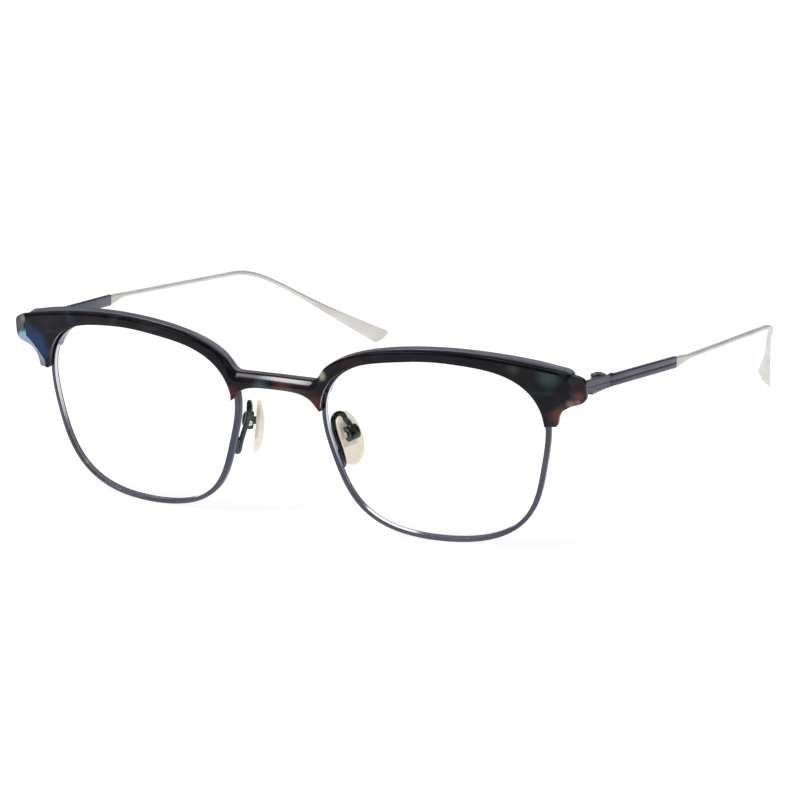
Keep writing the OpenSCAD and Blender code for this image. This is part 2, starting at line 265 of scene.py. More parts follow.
def coords(tree, stretch=(1, 1, 1)):
    """Object coordinates, which are row-frame metres here."""
    source = add_node(tree, "ShaderNodeTexCoord")
    scale = add_node(tree, "ShaderNodeMapping")
    scale.inputs["Scale"].default_value = stretch
    tree.links.new(source.outputs["Object"], scale.inputs["Vector"])
    return scale.outputs["Vector"]


def noise(tree, scale, detail, distortion=0.0, stretch=(1, 1, 1)):
    node = add_node(tree, "ShaderNodeTexNoise")
    node.inputs["Scale"].default_value = scale
    node.inputs["Detail"].default_value = detail
    node.inputs["Distortion"].default_value = distortion
    tree.links.new(coords(tree, stretch), node.inputs["Vector"])
    return node.outputs["Fac"]


def ramp(tree, fac, stops):
    node = add_node(tree, "ShaderNodeValToRGB")
    bar = node.color_ramp
    while len(bar.elements) < len(stops):
        bar.elements.new(0.5)
    for element, (at, colour) in zip(bar.elements, stops):
        element.position = at
        element.color = (*colour, 1)
    tree.links.new(fac, node.inputs["Fac"])
    return node.outputs["Color"]


def fit(tree, value, low, high, to_low=0.0, to_high=1.0):
    """Smoothly maps a value's range onto another."""
    node = add_node(tree, "ShaderNodeMapRange", interpolation_type="SMOOTHSTEP")
    for key, number in zip(("From Min", "From Max", "To Min", "To Max"), (low, high, to_low, to_high)):
        node.inputs[key].default_value = number
    tree.links.new(value, node.inputs["Value"])
    return node.outputs["Result"]


def mix(tree, fac, a, b):
    """Mixes colours a and b; each is a colour or a socket."""
    node = add_node(tree, "ShaderNodeMix", data_type="RGBA")
    factor, first, second, result = 0, 6, 7, 2
    tree.links.new(fac, node.inputs[factor])
    for index, value in ((first, a), (second, b)):
        if isinstance(value, tuple):
            node.inputs[index].default_value = (*value, 1)
        else:
            tree.links.new(value, node.inputs[index])
    return node.outputs[result]


def near(tree, centre, inner, outer):
    """1 within 'inner' millimetres of a point in the bridge's frame, 0 beyond 'outer'."""
    node = add_node(tree, "ShaderNodeVectorMath", operation="DISTANCE")
    node.inputs[1].default_value = TO_ROW @ Vector(centre)
    tree.links.new(coords(tree), node.inputs[0])
    return fit(tree, node.outputs["Value"], inner * MM, outer * MM, 1.0, 0.0)


def bump(tree, shader, height, strength, distance):
    node = add_node(tree, "ShaderNodeBump")
    node.inputs["Strength"].default_value = strength
    node.inputs["Distance"].default_value = distance
    tree.links.new(height, node.inputs["Height"])
    tree.links.new(node.outputs["Normal"], shader.inputs["Normal"])


GRAIN, BRUSHED = 2600, (1, 0.08, 1)


def drifting(tree, dark, light):
    """A tone that wanders slowly between two colours."""
    return ramp(tree, noise(tree, 90, 2), ((0.35, dark), (0.65, light)))


def metal(name, dark, light, roughness, dent=0.15, metallic=1.0, painted_glow=0.0):
    """Plated metal with a fine brushed grain and a slow drift of tone, and an optional painted glow in
    that tone, though the metal is no lamp.
    """
    material, tree, shader = start(name)
    shader.inputs["Metallic"].default_value = metallic
    tone = drifting(tree, dark, light)
    tree.links.new(tone, shader.inputs["Base Color"])
    # the emission is a painted glow, which brightens the metal though it gives no light of its own
    tree.links.new(tone, shader.inputs["Emission Color"])
    shader.inputs["Emission Strength"].default_value = painted_glow
    fine = noise(tree, GRAIN, 4, stretch=BRUSHED)
    tree.links.new(fit(tree, fine, 0.3, 0.7, roughness * 0.8, roughness * 1.2),
                   shader.inputs["Roughness"])
    bump(tree, shader, fine, dent, 0.00002)
    return material


def blend_down(material, low, high, dark, light):
    """Turns a metal's colour into another below a height, given in millimetres over the table."""
    tree = material.node_tree
    base = tree.nodes["Principled BSDF"].inputs["Base Color"]
    split = add_node(tree, "ShaderNodeSeparateXYZ")
    tree.links.new(coords(tree), split.inputs["Vector"])
    height = fit(tree, split.outputs["Z"], low * MM, high * MM)
    tree.links.new(mix(tree, height, drifting(tree, dark, light), base.links[0].from_socket), base)


def acetate(name, dark, mid, warm, spots_and_highlights, polished=True):
    """Dark tortoise sheet with lighter spots, some of them painted highlights; when polished, it is
    glossiest on the bridge.
    """
    material, tree, shader = start(name)
    base = ramp(tree, noise(tree, 120, 3, 1.2), ((0.40, dark), (0.56, mid), (0.72, warm)))
    teal = fit(tree, noise(tree, 210, 2, 0.8, (1, 1, 1.3)), 0.60, 0.72)
    colour = mix(tree, teal, base, (0.009, 0.019, 0.022))
    # each spot is lighter colour in the sheet, except the painted highlights among the end's spots
    for centre, inner, outer, tint in spots_and_highlights:
        colour = mix(tree, near(tree, centre, inner, outer), colour, tint)
    tree.links.new(colour, shader.inputs["Base Color"])
    shader.inputs["Roughness"].default_value = 0.14
    shader.inputs["IOR"].default_value = 1.48
    shader.inputs["Specular IOR Level"].default_value = 0.10 if polished else 0.07
    shader.inputs["Specular Tint"].default_value = (0.92, 0.91, 1.0, 1)
    shader.inputs["Coat Roughness"].default_value = 0.12
    if polished:
        bridge = near(tree, (2.9, -4.8, 33.4), 1.0, 9.0)
        tree.links.new(fit(tree, bridge, 0, 1, 0.10, 0.75), shader.inputs["Coat Weight"])
    bump(tree, shader, noise(tree, 60, 2), 0.08, 0.0002)
    return material


# centre, inner and outer radius in millimetres, and colour of each lighter patch: blue at the
# wearer's right end, brown, beige and teal at the left end and on the bridge; a few at the ends are
# painted highlights
FACE_PATCHES = (
    ((-60.6, 2.0, 32.9), 1.6, 4.2, (0.009, 0.030, 0.085)),
    ((-62.2, 1.9, 35.6), 0.5, 2.0, (0.009, 0.024, 0.060)),
    ((-58.0, 1.6, 31.0), 0.4, 1.9, (0.010, 0.030, 0.080)),
    ((11.4, -4.8, 34.8), 0.3, 1.5, (0.25, 0.25, 0.19)),
    ((9.7, -4.0, 28.2), 0.9, 2.6, (0.075, 0.022, 0.018)),
    ((-9.5, -4.0, 28.5), 0.6, 2.6, (0.045, 0.016, 0.018)),
    ((-2.9, -4.5, 30.8), 0.3, 2.5, (0.035, 0.065, 0.075)),
    ((2.3, -4.5, 31.0), 0.6, 3.0, (0.060, 0.022, 0.022)),
    ((59.3, 0.9, 38.5), 0.3, 3.4, (0.034, 0.056, 0.056)),
    ((52.3, -0.7, 39.8), 0.3, 2.0, (0.034, 0.032, 0.022)),
    ((60.5, 2.3, 30.0), 0.5, 2.2, (0.070, 0.024, 0.018)),
)
END_PATCHES_AND_HIGHLIGHTS = (
    ((-63.4, 2.8, 31.4), 3.1, 4.3, (0.22, 0.37, 0.55)),
    ((-60.3, 2.3, 29.6), 1.1, 2.3, (0.17, 0.24, 0.34)),
    ((-59.0, 2.1, 28.0), 0.6, 1.7, (0.17, 0.16, 0.19)),
    ((-65.0, 2.6, 36.4), 0.8, 2.4, (0.055, 0.078, 0.084)),
    # a painted highlight streak on the top corner of the wearer's right end
    ((-64.0, 2.1, 37.9), 0.1, 1.5, (0.17, 0.17, 0.14)),
    ((65.4, 2.8, 36.4), 0.6, 2.0, (0.026, 0.011, 0.011)),
    ((65.1, 2.8, 34.2), 0.2, 1.7, (0.120, 0.050, 0.038)),
    ((61.5, 2.4, 29.9), 0.9, 2.9, (0.125, 0.044, 0.030)),
    # the next two beige spots are painted highlights on the lower bevel of the wearer's left end
    ((63.5, 2.6, 32.5), 0.2, 1.5, (0.25, 0.180, 0.125)),
    ((64.9, 2.8, 32.9), 0.3, 1.1, (0.24, 0.165, 0.12)),
)


def lens_glass():
    """Clear lens with a faint anti-reflection coat."""
    material, tree, shader = start("lens_clear")
    tree.nodes.remove(shader)
    clear = add_node(tree, "ShaderNodeBsdfTransparent")
    shine = add_node(tree, "ShaderNodeBsdfGlossy")
    blend = add_node(tree, "ShaderNodeMixShader")
    edge = add_node(tree, "ShaderNodeFresnel")
    edge.inputs["IOR"].default_value = 1.10
    tone = ramp(tree, noise(tree, 30, 1), ((0.3, (0.990, 0.997, 0.994)), (0.7, (0.994, 0.999, 0.996))))
    tree.links.new(tone, clear.inputs["Color"])
    shine.inputs["Roughness"].default_value = 0.02
    shine.inputs["Color"].default_value = (0.75, 0.95, 0.92, 1)
    tree.links.new(edge.outputs["Fac"], blend.inputs["Fac"])
    tree.links.new(clear.outputs["BSDF"], blend.inputs[1])
    tree.links.new(shine.outputs["BSDF"], blend.inputs[2])
    tree.links.new(blend.outputs["Shader"], tree.nodes["Material Output"].inputs["Surface"])
    return material


def pad_plastic():
    """Clear champagne plastic, slightly cloudy, with a painted glow that stands in for light passing
    through it.
    """
    material, tree, shader = start("pad_plastic")
    cloud = noise(tree, 300, 2)
    tree.links.new(ramp(tree, cloud, ((0.3, (0.76, 0.68, 0.56)), (0.7, (0.85, 0.78, 0.68)))),
                   shader.inputs["Base Color"])
    # the emission is a painted glow, which brightens the pad though it is no lamp
    tree.links.new(ramp(tree, cloud, ((0.3, (0.82, 0.74, 0.62)), (0.7, (0.90, 0.84, 0.75)))),
                   shader.inputs["Emission Color"])
    shader.inputs["Emission Strength"].default_value = 0.25
    shader.inputs["Transmission Weight"].default_value = 0.35
    shader.inputs["Roughness"].default_value = 0.18
    shader.inputs["IOR"].default_value = 1.46
    shader.inputs["Coat Weight"].default_value = 0.4
    bump(tree, shader, cloud, 0.05, 0.0001)
    return material


GUNMETAL = (0.030, 0.040, 0.038), (0.062, 0.082, 0.076)
SLATE = (0.066, 0.068, 0.100), (0.088, 0.088, 0.120)

ACETATE_MAT = acetate("acetate", (0.004, 0.004, 0.006), (0.008, 0.006, 0.009), (0.022, 0.010, 0.010),
                      FACE_PATCHES)
ACETATE_END = acetate("acetate_end", (0.016, 0.020, 0.026), (0.024, 0.024, 0.028), (0.036, 0.022, 0.022),
                      END_PATCHES_AND_HIGHLIGHTS)
# a darker, less glossy copy for the brow's top bevel and rear faces; its darker tone is painted shade
ACETATE_EDGE_SHADED = acetate("acetate_edge_painted_shade", (0.003, 0.003, 0.004), (0.005, 0.004, 0.006),
                       (0.012, 0.006, 0.006), (), polished=False)
SATIN = metal("satin_slate", *SLATE, 0.30)
BAR_SATIN = metal("satin_brow_bar", (0.150, 0.146, 0.182), (0.190, 0.184, 0.222), 0.40, dent=0.05,
                  metallic=0.6)
# a bright metal finish for the acetate's opening wall near the nose: painted light on a wall that lies in
# shade
WALL_PAINTED_LIGHT = metal("satin_wall_painted_light", (0.34, 0.33, 0.40), (0.44, 0.43, 0.50), 0.30, dent=0.05)
POLISHED = metal("polished_slate", (0.60, 0.61, 0.65), (0.72, 0.73, 0.76), 0.14, dent=0.05)
LAVENDER = metal("satin_lavender", (0.18, 0.17, 0.22), (0.25, 0.24, 0.30), 0.28)
DARK = metal("dark_gunmetal", *GUNMETAL, 0.18, dent=0.06)
ARM = metal("dark_gunmetal_arm", *GUNMETAL, 0.18, dent=0.06)
blend_down(ARM, 13.5, 18.0, *SLATE)
HINGE = metal("hinge_grey", (0.13, 0.13, 0.15), (0.22, 0.22, 0.24), 0.26)
SCREW = metal("screw_bright", (0.55, 0.55, 0.57), (0.66, 0.66, 0.68), 0.18, dent=0.05)
# the pale titanium carries a painted glow that lifts its shaded sides
TITANIUM = metal("pale_titanium", (0.50, 0.475, 0.455), (0.60, 0.575, 0.535), 0.42, dent=0.08,
                 metallic=0.5, painted_glow=0.22)
LENS = lens_glass()
PADS = pad_plastic()


# ---------- rims and lenses ----------
def rim(side, s):
    """The rim's wire, with a polished strip along its inner wall between two satin edges."""
    # the rounded box's second axis is depth, so its last corner is the outer front one
    profile = rounded_box(-RIM_HALF, RIM_HALF, 0, RIM_DEPTH, (0.25, 0.12, 0.10, 0.34), 4)
    strip = 10
    profile[strip:strip] = [(-RIM_HALF, 1.16), (-RIM_HALF, 0.26)]
    satin, polished, lavender = range(3)
    brow_from, brow_to = 27, 74
    rings, steps = [], 240
    for i in range(steps):
        phi = i * 360 / steps
        rings.append([EYE @ eye_point(phi, a, d) for a, d in profile])
    points, faces = loft(rings, closed=True)
    n = len(profile)
    mats = [satin] * len(faces)
    for i in range(steps):
        under_brow = brow_from < i * 360 / steps < brow_to
        mats[i * n + strip] = lavender if under_brow else polished
    make(f"rim_wire_{side}", mirrored(points, s), faces, [SATIN, POLISHED, LAVENDER], "front",
         f"rim_{side}", face_mats=mats)


def lens(side, s):
    """A lens of two spherical faces, its edge just inside the rim's inner wall."""
    steps, rings = 160, 9
    edge, front, back = -RIM_HALF + 0.01, 0.30, 1.46
    points, faces = [], []
    for depth in (front, back):
        base = len(points)
        points.append(EYE @ Vector((0, depth, 0)))
        for j in range(1, rings + 1):
            f = math.sin(j / rings * math.pi / 2)
            for i in range(steps):
                p = eye_point(i * 360 / steps, edge, depth)
                r = math.hypot(p.x, p.z) * f
                y = BASE_RADIUS - math.sqrt((BASE_RADIUS - depth) ** 2 - r * r)
                points.append(EYE @ Vector((p.x * f, y, p.z * f)))
        for i in range(steps):
            m = (i + 1) % steps
            faces.append((base, base + 1 + i, base + 1 + m))
            for j in range(rings - 1):
                a, b = base + 1 + j * steps, base + 1 + (j + 1) * steps
                faces.append((a + i, b + i, b + m, a + m))
    half = len(points) // 2
    last = 1 + (rings - 1) * steps
    for i in range(steps):
        m = (i + 1) % steps
        faces.append((last + i, last + m, half + last + m, half + last + i))
    make(f"lens_clear_{side}", mirrored(points, s), faces, [LENS], "front", f"lens_{side}")


# ---------- brow ----------
# Points round one rib of a plate, in order, and the faces that take a finish of their own: face k
# lies between points k and k + 1.
BACK_POINTS, EDGE_POINTS, FACE_POINTS = 3, 5, 5
WALL_FACE = BACK_POINTS - 1
FIRST_BEVEL = BACK_POINTS + EDGE_POINTS + FACE_POINTS
FIRST_REAR = FIRST_BEVEL + EDGE_POINTS - 1
BEVEL_FACES = range(FIRST_BEVEL, FIRST_REAR)
REAR_FACES = range(FIRST_REAR, FIRST_REAR + BACK_POINTS)


def ribbed(inner, inner_back, outer, d0, d1, lip, low_edge, top_edge, flat, lean, back_edge, crown):
    """A plate between two curves in the front frame, lofted rib by rib.

    inner, inner_back and outer are (x, z) per rib. lip is (width, depth) per rib of the strip
    along the inner edge that reaches further back than d1. low_edge and top_edge are (width,
    depth) of the front edges per rib, flat turns the top one from round to bevelled, lean runs
    it along the rib instead of square to the edge, and back_edge rounds the rear ones."""

    def inward(curve, other):
        ahead = np.gradient(curve, axis=0)
        normal = np.stack([-ahead[:, 1], ahead[:, 0]], 1)
        normal /= np.linalg.norm(normal, axis=1)[:, None]
        return normal * np.sign((normal * (other - curve)).sum())

    n_in, n_out = inward(inner, outer), inward(outer, inner)
    rings = []
    for i in range(len(inner)):
        ring = []
        reach = np.linalg.norm(outer[i] - inner[i])

        def add(p, depth):
            ring.append(FRONT @ Vector((p[0], brow_y(p[0]) + depth, p[1])))

        lip_w, lip_d = lip[i]
        for k in range(BACK_POINTS):
            t = math.radians(90 * k / (BACK_POINTS - 1))
            add(inner_back[i] + n_in[i] * back_edge * (1 - math.sin(t)),
                lip_d - back_edge * (1 - math.cos(t)))
        low_w, d = low_edge[i]
        low_w = min(low_w, 0.3 * reach)
        for k in range(EDGE_POINTS):
            t = math.radians(90 * k / (EDGE_POINTS - 1))
            add(inner[i] + n_in[i] * low_w * (1 - math.cos(t)), d0 + d * (1 - math.sin(t)))
        low = inner[i] + n_in[i] * low_w
        w, d = top_edge[i]
        w = min(w, 0.80 * reach - low_w)
        rib = n_out[i] + lean[i] * (inner[i] - outer[i]) / reach
        rib /= np.linalg.norm(rib)
        high = outer[i] + rib * w
        for k in range(1, FACE_POINTS + 1):
            t = k / (FACE_POINTS + 1)
            add(low + (high - low) * t, d0 - crown * 4 * t * (1 - t))
        for k in range(EDGE_POINTS - 1, -1, -1):
            f = k / (EDGE_POINTS - 1)
            t = math.radians(90 * f)
            across = (1 - math.cos(t)) * (1 - flat[i]) + f * flat[i]
            down = (1 - math.sin(t)) * (1 - flat[i]) + (1 - f) * flat[i]
            add(outer[i] + rib * w * across, d0 + d * down)
        for k in range(BACK_POINTS - 1, -1, -1):
            t = math.radians(90 * k / (BACK_POINTS - 1))
            add(outer[i] + n_out[i] * back_edge * (1 - math.sin(t)), d1 - back_edge * (1 - math.cos(t)))
        step = inner_back[i] + n_in[i] * lip_w
        add((outer[i] + step) / 2, d1)
        add(step, d1)
        add(step, lip_d)
        rings.append(ring)
    return rings


def both_halves(rings):
    """Adds the mirror image of a half that ends on the middle plane."""
    return rings + [[Vector((-p.x, p.y, p.z)) for p in ring] for ring in rings[-2::-1]]


def ease(values, start, width):
    """0 up to 'start', then rising to 1 over 'width'."""
    return np.clip((values - start) / width, 0, 1)


def arc(first, last, grow, depth, n):
    """n points of the lens opening between two angles, in the front frame."""
    return np.array([brow_arc(first + (last - first) * i / (n - 1), grow, depth) for i in range(n)])


# outlines in the front frame, as (x, z): the brow's top, its shoulder down to the bridge, its end
# over the temple, the lug below that, and the arch under the bridge
TOP = join(
    bez((63.5, 18.0), (54, 20.3), (44, 21.9), (35.5, 21.9), 24),
    bez((35.5, 21.9), (23.5, 21.9), (14.6, 19.5), (11.6, 16.2), 24))
SHOULDER = bez((11.6, 16.2), (10.4, 14.85), (9.9, 13.4), (8.6, 13.25), 12)
BRIDGE_TOP = 13.35
END = join(
    bez((63.6, 11.4), (65.2, 11.8), (66.4, 12.1), (66.4, 13.4), 10),
    bez((66.4, 15.6), (66.4, 16.9), (65.7, 17.5), (63.5, 18.0), 12))
LUG = join([(60.25, 6.95)], bez((60.45, 7.3), (60.7, 9.5), (61.5, 10.9), (63.6, 11.4), 12))
ARCH = join(
    bez((11.0, 6.92), (9.6, 6.85), (9.3, 8.1), (8.4, 9.0), 10),
    bez((8.4, 9.0), (6.6, 10.5), (4.2, 10.6), (0, 10.6), 12))


def brow_front():
    """The acetate front, rib by rib from one lug's foot to the other's."""
    foot, knee, hip, neck, nose = 17.3, 19.5, 31.0, 143.0, 163.4
    margin, lip_end = 0.04, 0.02
    lug_ribs, bridge_ribs, split = 14, 26, 8
    parts = ((foot, knee, LUG, lug_ribs), (knee, hip, END, 26), (hip, neck, TOP, 84),
             (neck, nose, SHOULDER[: split + 1], 18),
             (None, None, join(SHOULDER[split:], [(0, BRIDGE_TOP)]), bridge_ribs))
    inner, back, outer, lip = [], [], [], []
    for i, (a, b, curve, n) in enumerate(parts):
        first = 1 if i else 0
        outer.append(resample(curve, n)[first:])
        if a is None:
            arch = resample(ARCH, n)[first:]
            inner.append(arch)
            back.append(arch)
            fade = np.clip(1 - np.arange(1, n) / 5, 0, 1)
            lip += [(0.3, ACETATE + lip_end + (rim_front(nose) - margin - ACETATE) * f) for f in fade]
            continue
        angles = np.linspace(a, b, n)[first:]
        depths = [rim_front(t) - margin for t in angles]
        inner.append(np.array([brow_arc(t, opening(t), 0) for t in angles]))
        back.append(np.array([brow_arc(t, opening(t), d) for t, d in zip(angles, depths)]))
        lip += [(RIM_HALF - opening(t), d) for t, d in zip(angles, depths)]
    inner, back, outer = np.vstack(inner), np.vstack(back), np.vstack(outer)
    x = outer[:, 0]
    on_bridge = ease(-x, -13.5, 4.5)
    on_end = ease(x, 62.4, 2.6)
    on_end[: lug_ribs + 6] = 1
    on_end = smooth(on_end, 2)
    on_side = smooth(ease(x, 65.2, 1.0), 2)
    # widths and depths of the front's top and low edges, which grow on the bridge and at the ends
    top_w = smooth(0.42 + 1.15 * on_bridge, 3) + 1.90 * on_end + 0.80 * on_side
    top_d = smooth(0.30 + 1.10 * on_bridge, 3) + 0.20 * on_end
    low_w = smooth(0.30 + 0.15 * on_bridge, 3)
    low_d = smooth(0.26 + 0.30 * on_bridge, 3)
    flat = np.maximum(on_end, 0.78 * on_bridge)
    lean_foot, lean_rest = 3.0, 0.35
    lean = np.full(len(x), lean_rest)
    lean[:lug_ribs] = np.linspace(lean_foot, lean_rest, lug_ribs)
    back_edge, crown = 0.12, 0.10
    rings = ribbed(inner, back, outer, 0, ACETATE, lip, np.stack([low_w, low_d], 1),
                   np.stack([top_w, top_d], 1), flat, lean, back_edge, crown)
    # a short rounded end under each lug
    centre = sum(rings[0], Vector()) / len(rings[0])
    shrink, drop = 0.86, FRONT.to_3x3() @ Vector((0, 0, -0.14))
    tip = [centre + (p - centre) * shrink + drop for p in rings[0]]
    points, faces = loft(both_halves([tip] + rings))
    # the bevel changes at the ends, and a wall of the opening is lined near the nose
    plain, end, edge, wall = range(4)
    # away from the bridge the top bevel takes the darker edge copy, which is painted shade
    kinds = [plain] + [end if e > 0.4 else edge if px > 14 else plain for e, px in zip(on_end, x)]
    kinds += kinds[-2::-1]
    # the lined wall takes the bright finish, which is painted light
    wall_ribs = 26
    lined = [False] * (len(x) + 2 - bridge_ribs - wall_ribs) + [True] * wall_ribs
    lined += [False] * (len(kinds) - 2 * len(lined)) + lined[::-1]
    n = len(tip)
    mats = [plain] * len(faces)
    for i in range(len(kinds) - 1):
        kind = min(kinds[i], kinds[i + 1])
        for k in BEVEL_FACES:
            mats[i * n + k] = kind
        for k in REAR_FACES:
            mats[i * n + k] = edge if kind else plain
        if lined[i] and lined[i + 1]:
            mats[i * n + WALL_FACE] = wall
    make("brow_acetate", points, faces, [ACETATE_MAT, ACETATE_END, ACETATE_EDGE_SHADED, WALL_PAINTED_LIGHT], "front",
         "brow_front", face_mats=mats, sharp=50)


def brow_bar():
    """The metal plate behind the acetate, and its flange round the top of each rim."""
    grow, drop = RIM_HALF + GAP, -0.2
    lower = np.array((0, drop))
    d0 = ACETATE + GAP
    corner, hip, neck, nose = 35.5, 42, 143, 156.5
    split = 8
    # how far the bar's top stands above the acetate's, at places across the front
    places, stand = (11.6, 36, 52, 57, 61.8), (drop, 0.1, 0.42, 0.42, 0.2)
    top = TOP[TOP[:, 0] < places[-1]]
    rise = np.interp(top[:, 0], places, stand)
    top = top + np.stack([0 * rise, rise], 1)
    end = join([(57.2, 14.9), (63.0, 14.9)], bez((63.4, 15.4), (63.8, 17.4), (63.3, 18.5), top[0], 8))
    bridge = [(12.0, 10.0), (8.0, 11.4), (0, 11.4)]
    parts = (
        (arc(corner, hip, grow, d0, 10), arc(corner, hip, grow, BAR_BACK, 10), end, 26),
        (arc(hip, neck, grow, d0, 60), arc(hip, neck, grow, BAR_BACK, 60), top, 80),
        (arc(neck, nose, grow, d0, 16), arc(neck, nose, grow, BAR_BACK, 16),
         SHOULDER[: split + 1] + lower, 14),
        (bridge, bridge, join(SHOULDER[split:] + lower, [(0, BRIDGE_TOP + drop)]), 18))
    inner, back, outer = [], [], []
    for i, (a, b, c, n) in enumerate(parts):
        first = 1 if i else 0
        inner.append(resample(a, n)[first:])
        back.append(resample(b, n)[first:])
        outer.append(resample(c, n)[first:])
    inner, back, outer = np.vstack(inner), np.vstack(back), np.vstack(outer)
    edge = np.tile((0.10, 0.10), (len(inner), 1))
    lip = np.tile((0.2, BAR_BACK + GAP), (len(inner), 1))
    none = np.zeros(len(inner))
    back_edge, crown = 0.3, 0.0
    rings = ribbed(inner, back, outer, d0, BAR_BACK, lip, edge, edge, none, none, back_edge, crown)
    points, faces = loft(both_halves(rings))
    make("brow_bar_plate", points, faces, [BAR_SATIN], "front", "brow_bar", sharp=50)
    first, sweep, steps = 27, 131, 90
    flange_w, flange_d = 0.4, 1.1
    for side, s in SIDES:
        profile = rounded_box(-RIM_HALF, RIM_HALF + flange_w, RIM_DEPTH + GAP, RIM_DEPTH + flange_d,
                              (0.25, 0.25, 0.05, 0.05), 3)
        rings = [[EYE @ eye_point(first + i * sweep / steps, a, d) for a, d in profile]
                 for i in range(steps + 1)]
        points, faces = loft(rings)
        make(f"brow_bar_flange_{side}", mirrored(points, s), faces, [LAVENDER], "front", "brow_bar",
             sharp=50)


# ---------- temples ----------
def temple_bar(side, s):
    """The flat bar behind the hinge, with a groove along the middle of its outer face."""
    r = 0.26
    outline = rounded_box(-TEMPLE_HALF_T, TEMPLE_HALF_T, -TEMPLE_HALF_H, TEMPLE_HALF_H, (r,) * 4, 4)
    # half of the groove, as (depth, height); it runs between the box's last corner and its first
    groove = ((0, 0.20), (0.03, 0.16), (0.16, 0.12))
    outline += [(TEMPLE_HALF_T - depth, -height) for depth, height in groove]
    outline += [(TEMPLE_HALF_T - depth, height) for depth, height in groove[::-1]]
    y0, y1 = TEMPLE_START, TEMPLE_START + TEMPLE_LEN
    rings = []
    for y, f in ((y0, 0.90), (y0 + 0.12, 1), (y1 / 3, 1), (2 * y1 / 3, 1), (y1 - 0.2, 1),
                 (y1 - 0.05, 0.95), (y1, 0.88)):
        inset_t, inset_h = 0.4 * (1 - f), 1 - f
        rings.append([BAR @ Vector((a - math.copysign(inset_t, a), y, b - math.copysign(inset_h, b)))
                      for a, b in outline])
    points, faces = loft(rings)
    make(f"temple_bar_slate_{side}", mirrored(points, s), faces, [SATIN], f"temple_{side}",
         f"temple_bar_{side}", sharp=50)


# half width of the flattened tip and distance along it; the tip also grows upwards by TIP_SPARE
TIP_LEN, TIP_SPARE = 33.25, 0.6
TIP_EDGE = join(
    bez((0.55, 1.0), (0.85, 10), (1.55, 22), (1.95, TIP_LEN - 0.70), 20),
    bez((1.95, TIP_LEN - 0.70), (1.98, TIP_LEN - 0.20), (1.85, TIP_LEN), (1.40, TIP_LEN), 8))


def wire_frames():
    """Frames along the round wire and the flat tip: (matrix, length along the tip or None)."""
    straight, drop, splay, first_turn = 50, -5.9, 1.84, 42.3
    m = shift(68.95, 53.0, 31.75) @ spin(drop, 0, splay) @ spin(-90, 0, 0) @ spin(0, 0, 90)
    out = [(m @ shift(0, 0, z), None) for z in np.linspace(0, straight, 12)]
    m = m @ shift(0, 0, straight) @ spin(0, 0, first_turn)
    # the bend behind the ear, then the slighter one into the tip
    for radius, angle, n, turn in ((26.9, 30.3, 16, -96.1), (120, 4.3, 5, -168.1)):
        for k in range(1, n + 1):
            t = math.radians(angle * k / n)
            step = shift(radius * (1 - math.cos(t)), 0, radius * math.sin(t)) @ spin(0, math.degrees(t), 0)
            out.append((m @ step, None))
        m = out[-1][0] @ spin(0, 0, turn)
    tip = resample(TIP_EDGE, 44)[:, 1]
    out += [(m @ shift(0, 0, z), z) for z in tip]
    return out


def tip_half_width(z):
    """Half the width of the flattened tip at a distance along it."""
    return np.interp(z, TIP_EDGE[:, 1], TIP_EDGE[:, 0])


def temple_wire(side, s):
    """The wire behind the bar: a tapered shoulder, the round wire and the flattened tip."""
    count = 32
    rings = []
    start_y = TEMPLE_START + TEMPLE_LEN + GAP
    # the shoulder is a flat oblong that becomes the round wire
    oblong_h, oblong_t = 1.2, 0.45
    for t in (0.0, 0.02, 0.25, 0.5, 0.75, 1.0):
        height = oblong_h + (WIRE_R - oblong_h) * t
        thickness = oblong_t + (WIRE_R - oblong_t) * t
        centre = 0.4 * t
        inset = 0.9 if t == 0.0 else 1.0
        shape = superellipse(thickness * inset, height * inset, 6 - 4 * t, count)
        rings.append([BAR @ Vector((a, start_y + WIRE_TAPER * t, centre + b)) for a, b in shape])
    u = (BAR.to_3x3() @ Vector((1, 0, 0))).normalized()
    for m, z in wire_frames():
        ahead = (m.to_3x3() @ Vector((0, 0, 1))).normalized()
        u = (u - ahead * u.dot(ahead)).normalized()
        v = u.cross(ahead)
        wide, thick = m.to_3x3() @ Vector((1, 0, 0)), m.to_3x3() @ Vector((0, 1, 0))
        turn = math.atan2(u.dot(thick), u.dot(wide))
        way = 1 if v.dot(wide) * -math.sin(turn) + v.dot(thick) * math.cos(turn) > 0 else -1
        middle = m.translation.copy()
        if z is None:
            half, flat, power = WIRE_R, WIRE_R, 2.0
        else:
            spare = np.interp(z, [12, TIP_LEN], [0, TIP_SPARE])
            half = tip_half_width(z) + spare
            middle += wide * math.copysign(spare, wide.z)
            flat = np.interp(z, [0, 4, 14, TIP_LEN - 1, TIP_LEN], [WIRE_R, 0.56, 0.60, 0.58, 0.34])
            power = np.interp(z, [0, 6, 16, 26], [2.0, 1.9, 1.5, 1.3])
        shape = superellipse(half, flat, power, count, turn, way)
        rings.append([middle + wide * a + thick * b for a, b in shape])
    points, faces = loft(rings)
    make(f"temple_wire_pale_{side}", mirrored(points, s), faces, [TITANIUM], f"temple_{side}",
         f"temple_wire_{side}", sharp=60)


